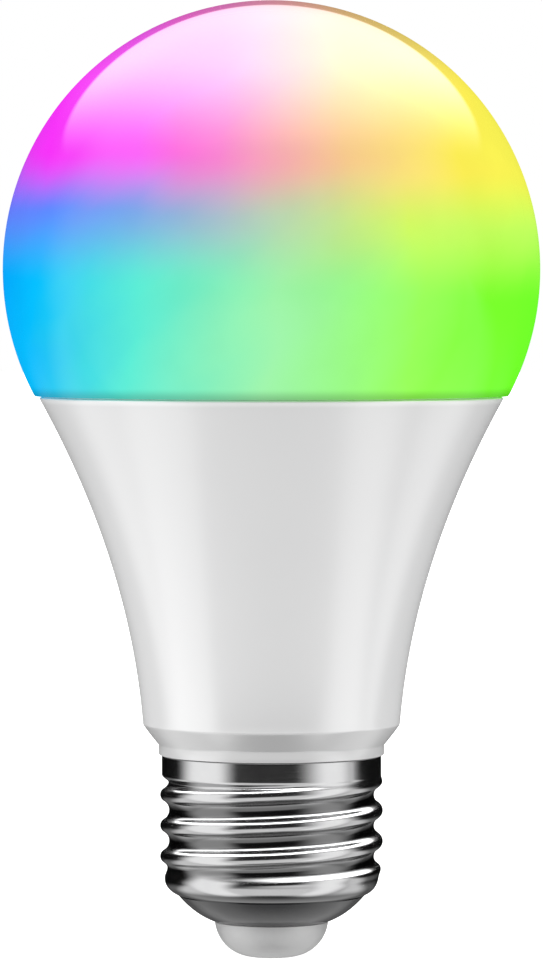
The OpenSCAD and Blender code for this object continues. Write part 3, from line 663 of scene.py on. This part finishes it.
MAJOR_R = shell_high.x
MINOR_R = 12.05
PITCH = 3.629
CREST_Z = 19.95
CREST_SHARE = 0.42
SKIRT_R = 12.9
SKIRT_FOOT_Z = 21.5
SHEET = 0.35
LIP_MIDDLE = (10.4, 9.4)
LIP_R = 2.2
LIP_TURN = 66
CRIMP_ANGLES = (14, 90, 166)
CRIMP_Z = 22.6
CRIMP_DEPTH = 0.42
CRIMP_R = 0.75


def smooth(value):
    value = min(max(value, 0), 1)
    return value * value * (3 - 2 * value)


def thread_height(along):
    """Height of the rounded thread over its root, at a distance along the axis from a crest."""
    depth, half = MAJOR_R - MINOR_R, PITCH / 2
    turn = 2 * math.atan(depth / half)
    both = half / math.sin(turn)
    top, foot = CREST_SHARE * both, (1 - CREST_SHARE) * both
    d = abs(along - PITCH * round(along / PITCH))
    if d < top * math.sin(turn):
        return depth - top + math.sqrt(top * top - d * d)
    return foot - math.sqrt(max(foot * foot - (half - d) ** 2, 0))


def thread_r(angle, z):
    """Radius of the right-handed thread at an angle in degrees: a crest passes CREST_Z at the front."""
    return MINOR_R + thread_height(z - CREST_Z - PITCH * (angle + 90) / 360)


def crimp_depth(angle, r, z):
    """How far the cap's skirt is pressed in at a crimp."""
    deepest = 0
    for crimp in CRIMP_ANGLES:
        turn = math.radians(angle - crimp)
        if math.cos(turn) > 0:
            away = math.hypot(r * math.sin(turn), z - CRIMP_Z)
            deepest = max(deepest, CRIMP_DEPTH * (1 - smooth(away / CRIMP_R)))
    return deepest


def cap_stations():
    """Down the cap's wall: plain radius, height, share of thread, and the (r, z) that the sheet faces."""
    stations = []
    wall_rows, lip_rows = 150, 14
    top, foot = shell_high.z - 0.15, LIP_MIDDLE[1]
    # The thread dies away over this length, and reaches this far down into the lip
    run_out, reach = 2.2, 0.4
    for i in range(wall_rows + 1):
        z = top + (foot - top) * i / wall_rows
        thread = min(smooth(SKIRT_FOOT_Z - 0.05 - z), smooth((z - foot + reach) / run_out))
        plain = SKIRT_R if z > foot + 1.8 else LIP_MIDDLE[0] + LIP_R
        stations.append((plain, z, thread, (1, 0)))
    for i in range(1, lip_rows + 1):
        down = math.radians(LIP_TURN * i / lip_rows)
        plain, z = LIP_MIDDLE[0] + LIP_R * math.cos(down), LIP_MIDDLE[1] - LIP_R * math.sin(down)
        thread = smooth(reach / run_out) * (1 - i / lip_rows)
        stations.append((plain, z, thread, (math.cos(down), -math.sin(down))))
    return stations


def sheet_loop(stations):
    """Round the sheet: a station, how far out of its middle, and how far along it towards the lip's end."""
    half = SHEET / 2
    edge = [math.radians(angle) for angle in (-60, -30, 0, 30, 60)]
    return [
        *[(station, half, 0) for station in stations],
        *[(stations[-1], -half * math.sin(a), half * math.cos(a)) for a in edge],
        *[(station, -half, 0) for station in reversed(stations)],
        *[(stations[0], half * math.sin(a), -half * math.cos(a)) for a in edge]]


def sheet_point(angle, station, out, along):
    """A point on the cap's sheet, at an angle in degrees."""
    plain, z, thread, facing = station
    half = SHEET / 2
    r = plain * (1 - thread) + thread_r(angle, z) * thread - half
    r -= crimp_depth(angle, r, z)
    # facing is across the sheet, and (facing z, -facing r) runs along it, towards the lip's end
    r += facing[0] * out + facing[1] * along
    z += facing[1] * (out - half) - facing[0] * along
    return round_point(r, z, math.radians(angle))


def make_cap():
    """Rolled sheet cap: one closed skin, outside down and inside up, with rounded edges of the sheet."""
    sides = 180
    angles = [360 * k / sides for k in range(sides)]
    rings = [[sheet_point(angle, *spot) for angle in angles] for spot in sheet_loop(cap_stations())]
    stands_for(skin("threaded_cap", rings), "screw_shell", polished_nickel())


def polished_nickel():
    material, t, shader = new_material("polished_nickel")
    point = t.place()
    # Fine lines round the cap from rolling, faint clouding where it has been handled, and painted shade
    # that darkens the grooves
    lines = t.noise(t.place((0.15, 0.15, 6)), 1.2, 4)
    cloud = t.noise(point, 0.25, 4)
    # Painted shade: the base colour darkens where the sheet comes within the thread's root radius, in the
    # grooves
    painted_groove_shade = t.ramp(t.off_axis(point), MINOR_R + 0.02, MINOR_R + 0.42, 0.72, 0)
    bright = t.mix(cloud, (0.42, 0.42, 0.425), (0.5, 0.5, 0.5))
    t.put(shader.inputs["Base Color"], t.mix(painted_groove_shade, bright, (0, 0, 0)))
    t.put(shader.inputs["Roughness"], t.ramp(t.mix(0.5, lines, cloud), 0.3, 0.7, 0.13, 0.19))
    t.put(shader.inputs["Normal"], t.bump(lines, 0.004, 0.3))
    shader.inputs["Metallic"].default_value = 1
    return material


make_cap()


# ------------------------------------------------------------------ insulator and contact

def black_glass():
    material, t, shader = new_material("black_glass")
    point = t.place()
    cloud = t.noise(point, 0.3)
    t.put(shader.inputs["Base Color"], t.mix(cloud, (0.012, 0.012, 0.013), (0.03, 0.03, 0.032)))
    t.put(shader.inputs["Roughness"], t.ramp(t.noise(point, 0.8), 0.3, 0.7, 0.14, 0.24))
    t.put(shader.inputs["Normal"], t.bump(t.noise(point, 0.5), 0.05, 0.2))
    shader.inputs["IOR"].default_value = 1.52
    return material


def satin_tin():
    material, t, shader = new_material("satin_tin")
    point = t.place()
    # Turning marks round the bowl, and light clouding
    marks = t.math("SINE", t.math("MULTIPLY", t.off_axis(point), 30))
    cloud = t.noise(point, 1.2, 4)
    t.put(shader.inputs["Base Color"], t.mix(cloud, (0.48, 0.48, 0.485), (0.57, 0.57, 0.565)))
    t.put(shader.inputs["Roughness"], t.ramp(cloud, 0.3, 0.7, 0.45, 0.58))
    t.put(shader.inputs["Normal"], t.bump(t.mix(0.5, marks, cloud), 0.004, 0.25))
    shader.inputs["Metallic"].default_value = 0.5
    return material


CONTACT_MIDDLE = (2.2, 4.5)
CONTACT_ARC = 4.5
CONTACT_SHEET = 0.5
STEM_R = 1.2
INSULATOR_TIP_Z = 4.3
CONTACT_RIM_Z = INSULATOR_TIP_Z - 0.05


def make_insulator():
    """Black glass body of the cap's end, with a nose that fills the contact's bowl."""
    top = insulator_high.z
    floor = 7
    hole_r = STEM_R + 0.03
    nose = CONTACT_ARC - CONTACT_SHEET - 0.05
    nose_r = math.sqrt(nose ** 2 - (CONTACT_MIDDLE[1] - INSULATOR_TIP_Z) ** 2)
    nose_turn = math.degrees(math.atan2(INSULATOR_TIP_Z - CONTACT_MIDDLE[1], nose_r))
    cone = bend((7.1, INSULATOR_TIP_Z), (9.2, 5.15), (10.95, 7.2), 12)
    outline = [
        (hole_r, CONTACT_MIDDLE[1] - nose),
        (CONTACT_MIDDLE[0], CONTACT_MIDDLE[1] - nose),
        *arc(CONTACT_MIDDLE, nose, -86, nose_turn, 12),
        *rounded([(6.6, INSULATOR_TIP_Z), (7.1, INSULATOR_TIP_Z, 0.12), cone[1]])[1:-1],
        *cone[1:],
        (10.95, 7.8),
        *arc(LIP_MIDDLE, LIP_R - SHEET - 0.15, -60, -8, 8),
        *rounded([(12.05, 9.3), (11.3, top, 0.15), (9.6, top, 0.2), (9, 7.6), (8.4, floor)])[1:],
        (hole_r, floor)]
    piece = turned("glass_insulator", outline, 160)
    crease(piece, 40)
    stands_for(piece, "cap_insulator", black_glass())


def make_contact():
    """Stamped bowl with a flat tip, and the stem that holds it in the insulator."""
    inner = CONTACT_ARC - CONTACT_SHEET
    rim_turn = math.degrees(math.asin((CONTACT_RIM_Z - CONTACT_MIDDLE[1]) / CONTACT_ARC))
    inner_turn = math.degrees(math.asin((CONTACT_RIM_Z - CONTACT_MIDDLE[1]) / inner))
    lip_r = CONTACT_MIDDLE[0] + CONTACT_ARC * math.cos(math.radians(rim_turn)) - CONTACT_SHEET / 2
    stem_top = contact_high.z
    outline = [
        (0, 0.12), (0.5, 0.12), (0.9, 0.04), (1.3, 0), (CONTACT_MIDDLE[0], 0),
        *arc(CONTACT_MIDDLE, CONTACT_ARC, -86, rim_turn - 2, 20),
        *arc((lip_r, CONTACT_RIM_Z - 0.16), 0.2, 20, 160, 6),
        *arc(CONTACT_MIDDLE, inner, inner_turn - 3, -90, 16),
        *rounded([(STEM_R + 0.3, 0.5), (STEM_R, 0.5, 0.05), (STEM_R, 1)])[1:],
        *rounded([(STEM_R, stem_top - 0.5), (STEM_R, stem_top, 0.3), (0.4, stem_top)])[1:],
        (0, stem_top)]
    piece = turned("tip_contact", outline, 128)
    crease(piece, 40)
    stands_for(piece, "centre_contact", satin_tin())


make_insulator()
make_contact()


# ------------------------------------------------------------------ materials of the inside

def finish(name, dark, light, roughness, grain=1.0, depth=0.003, metallic=0.0, along=1.0, coat=0.0):
    """A material whose colour, roughness and bump follow two noises, drawn out along Z if along is low."""
    material, t, shader = new_material(name)
    point = t.place((1, 1, along))
    fine = t.noise(point, 4 * grain)
    broad = t.noise(point, 0.5 * grain)
    t.put(shader.inputs["Base Color"], t.mix(t.ramp(broad, 0.3, 0.7), dark, light))
    t.put(shader.inputs["Roughness"], t.ramp(fine, 0.3, 0.7, roughness - 0.06, roughness + 0.06))
    t.put(shader.inputs["Normal"], t.bump(fine, depth, 0.4))
    shader.inputs["Metallic"].default_value = metallic
    shader.inputs["Coat Weight"].default_value = coat
    return material


def wound(name, gap, turn, pitch, roughness, metallic=0.0):
    """Turns of wire or tape along Z: each turn is a low ridge, darker where it meets the next."""
    material, t, shader = new_material(name)
    point = t.place()
    _, _, height = t.axes(point)
    ridge = t.math("ABSOLUTE", t.math("SINE", t.math("MULTIPLY", height, math.pi / pitch)))
    wear = t.noise(point, 2)
    bright = t.math("MULTIPLY", ridge, t.ramp(wear, 0.2, 0.8, 0.8, 1))
    t.put(shader.inputs["Base Color"], t.mix(bright, gap, turn))
    t.put(shader.inputs["Roughness"], t.ramp(wear, 0.3, 0.7, roughness - 0.05, roughness + 0.05))
    t.put(shader.inputs["Normal"], t.bump(ridge, 0.05, 0.6))
    shader.inputs["Metallic"].default_value = metallic
    return material


def board_mask():
    """Green solder mask with paler tracks under it, and the weave of the glass cloth."""
    material, t, shader = new_material("circuit_board")
    point = t.place()
    x, y, z = t.axes(point)
    bricks = t.tree.nodes.new("ShaderNodeTexBrick")
    settings = {
        "Vector": t.add("CombineXYZ", {0: t.math("ADD", x, y), 1: z}),
        "Scale": 1,
        "Brick Width": 3.4,
        "Row Height": 1.3,
        "Mortar Size": 0.13,
        "Color1": (0.012, 0.085, 0.035),
        "Color2": (0.014, 0.095, 0.04),
        "Mortar": (0.03, 0.17, 0.07)}
    for name, value in settings.items():
        t.put(bricks.inputs[name], value)
    weave = t.noise(point, 3)
    threads = t.ramp(weave, 0.3, 0.7, 0, 0.3)
    t.put(shader.inputs["Base Color"], t.mix(threads, bricks.outputs["Color"], (0.01, 0.06, 0.03)))
    t.put(shader.inputs["Roughness"], t.ramp(weave, 0.3, 0.7, 0.28, 0.38))
    t.put(shader.inputs["Normal"], t.bump(bricks.outputs["Fac"], 0.03, 0.5))
    return material


def sleeve(name, node, film, stripe):
    """Shrink film over a can, with a pale polarity stripe down one side."""
    low, high = box_mm(node)
    material, t, shader = new_material(name)
    point = t.place()
    x, y, z = t.axes(point)
    middle = (low + high) / 2
    around = t.math("ARCTAN2", t.math("SUBTRACT", y, middle.y), t.math("SUBTRACT", x, middle.x))
    edge = t.math("ABSOLUTE", t.math("SUBTRACT", around, 1.2))
    on_side = t.ramp(z, high.z - 1.2, high.z - 0.9, 1, 0)
    in_stripe = t.math("MULTIPLY", t.ramp(edge, 0.36, 0.4, 1, 0), on_side)
    ripple = t.noise(t.place((1, 1, 0.3)), 0.8)
    base = t.mix(t.ramp(ripple, 0.3, 0.7, 0, 0.4), film, (0, 0, 0))
    t.put(shader.inputs["Base Color"], t.mix(in_stripe, base, stripe))
    t.put(shader.inputs["Roughness"], t.ramp(ripple, 0.3, 0.7, 0.2, 0.32))
    t.put(shader.inputs["Normal"], t.bump(ripple, 0.03, 0.4))
    return material


def lacquer_with_bands():
    """Lacquered resistor with four colour bands along its length."""
    low, high = box_mm("fusible_resistor")
    size = high - low
    axis = max(range(3), key=lambda i: size[i])
    material, t, shader = new_material("resistor_lacquer")
    point = t.place()
    place = t.math("DIVIDE", t.math("SUBTRACT", t.axes(point)[axis], low[axis]), size[axis])
    colour = t.mix(t.noise(point, 1.5), (0.07, 0.22, 0.26), (0.1, 0.27, 0.31))
    bands = [(0.26, (0.2, 0.06, 0.02)), (0.4, (0.01, 0.01, 0.01)), (0.54, (0.01, 0.01, 0.012)),
             (0.74, (0.5, 0.36, 0.08))]
    for middle, band in bands:
        away = t.math("ABSOLUTE", t.math("SUBTRACT", place, middle))
        colour = t.mix(t.ramp(away, 0.035, 0.045, 1, 0), colour, band)
    t.put(shader.inputs["Base Color"], colour)
    t.put(shader.inputs["Roughness"], t.ramp(t.noise(point, 3), 0.3, 0.7, 0.25, 0.35))
    t.put(shader.inputs["Normal"], t.bump(t.noise(point, 1), 0.02, 0.3))
    return material


# For each slot of pieces inside: the material's name, its darkest and lightest colour, its roughness, and
# what differs from the usual in its grain
FINISHES = {
    "silicone": ("silicone", (0.70, 0.70, 0.68), (0.80, 0.80, 0.78), 0.45, {}),
    "aluminium": ("pressed_aluminium", (0.58, 0.58, 0.60), (0.72, 0.72, 0.73), 0.34,
                  {"metallic": 1, "along": 0.1}),
    "light_board": ("white_mask", (0.78, 0.78, 0.75), (0.86, 0.86, 0.84), 0.4, {"grain": 0.6}),
    "screw_steel": ("plated_steel", (0.45, 0.45, 0.42), (0.62, 0.62, 0.58), 0.3,
                    {"grain": 2, "metallic": 1}),
    "led_frame": ("reflector_plastic", (0.80, 0.80, 0.77), (0.87, 0.87, 0.84), 0.42, {}),
    "cool_phosphor": ("cool_phosphor", (0.80, 0.70, 0.12), (0.88, 0.80, 0.2), 0.3,
                      {"grain": 4, "depth": 0.01}),
    "warm_phosphor": ("warm_phosphor", (0.80, 0.38, 0.03), (0.88, 0.48, 0.07), 0.3,
                      {"grain": 4, "depth": 0.01}),
    "semiconductor": ("light_dies", (0.05, 0.07, 0.1), (0.12, 0.15, 0.2), 0.2,
                      {"grain": 6, "metallic": 0.4}),
    "black_plastic": ("moulding_compound", (0.012, 0.012, 0.014), (0.028, 0.028, 0.03), 0.55,
                      {"grain": 2, "depth": 0.01}),
    "gold_pins": ("gold_plate", (0.62, 0.42, 0.1), (0.78, 0.56, 0.18), 0.22, {"grain": 2, "metallic": 1}),
    "copper_track": ("copper_track", (0.55, 0.24, 0.12), (0.7, 0.33, 0.18), 0.35,
                     {"grain": 2, "metallic": 1}),
    "tinned_metal": ("solder", (0.52, 0.52, 0.5), (0.68, 0.68, 0.66), 0.28,
                     {"grain": 2, "depth": 0.01, "metallic": 1}),
    "ferrite": ("ferrite", (0.02, 0.02, 0.022), (0.045, 0.045, 0.048), 0.5, {"grain": 3, "depth": 0.02}),
    "capacitor_can": ("drawn_can", (0.55, 0.55, 0.57), (0.7, 0.7, 0.72), 0.3,
                      {"metallic": 1, "along": 0.15}),
    "epoxy_red": ("epoxy_dip", (0.24, 0.018, 0.01), (0.34, 0.035, 0.018), 0.28,
                  {"depth": 0.03, "coat": 0.4}),
    "resistor_chips": ("thick_film", (0.035, 0.03, 0.026), (0.2, 0.18, 0.16), 0.45, {"grain": 3}),
    "red_insulation": ("red_insulation", (0.38, 0.006, 0.005), (0.48, 0.014, 0.01), 0.36, {"depth": 0.01}),
    "black_insulation": ("black_insulation", (0.01, 0.01, 0.011), (0.022, 0.022, 0.024), 0.38,
                         {"depth": 0.01}),
    "bare_copper": ("bare_copper", (0.5, 0.2, 0.09), (0.68, 0.32, 0.17), 0.32,
                    {"grain": 3, "metallic": 1, "along": 0.2}),
}


def inside_materials():
    """The material of each slot that CAD nodes carry into this model."""
    made = {slot: finish(name, dark, light, roughness, **grain)
            for slot, (name, dark, light, roughness, grain) in FINISHES.items()}
    made["circuit_board"] = board_mask()
    made["winding_tape"] = wound("winding_tape", (0.55, 0.36, 0.02), (0.82, 0.58, 0.06), 2.6, 0.22)
    made["copper_wire"] = wound("copper_wire", (0.12, 0.03, 0.01), (0.56, 0.17, 0.06), 0.32, 0.28, 0.9)
    made["dark_sleeve"] = sleeve("dark_sleeve", "bulk_capacitor_sleeve", (0.008, 0.011, 0.025),
                                 (0.42, 0.44, 0.46))
    made["blue_sleeve"] = sleeve("blue_sleeve", "output_capacitor_sleeve", (0.02, 0.055, 0.2),
                                 (0.5, 0.54, 0.58))
    made["resistor_lacquer"] = lacquer_with_bands()
    return made


def paint_cad_nodes():
    """Gives each CAD node that still shows the material of its slot."""
    materials = inside_materials()
    slots = {entry["node"]: entry["material_slot"] for entry in frame["record"]["subparts"]}
    for node, piece in frame["nodes"].items():
        if slots[node] in materials:
            piece.data.materials.clear()
            piece.data.materials.append(materials[slots[node]])


paint_cad_nodes()
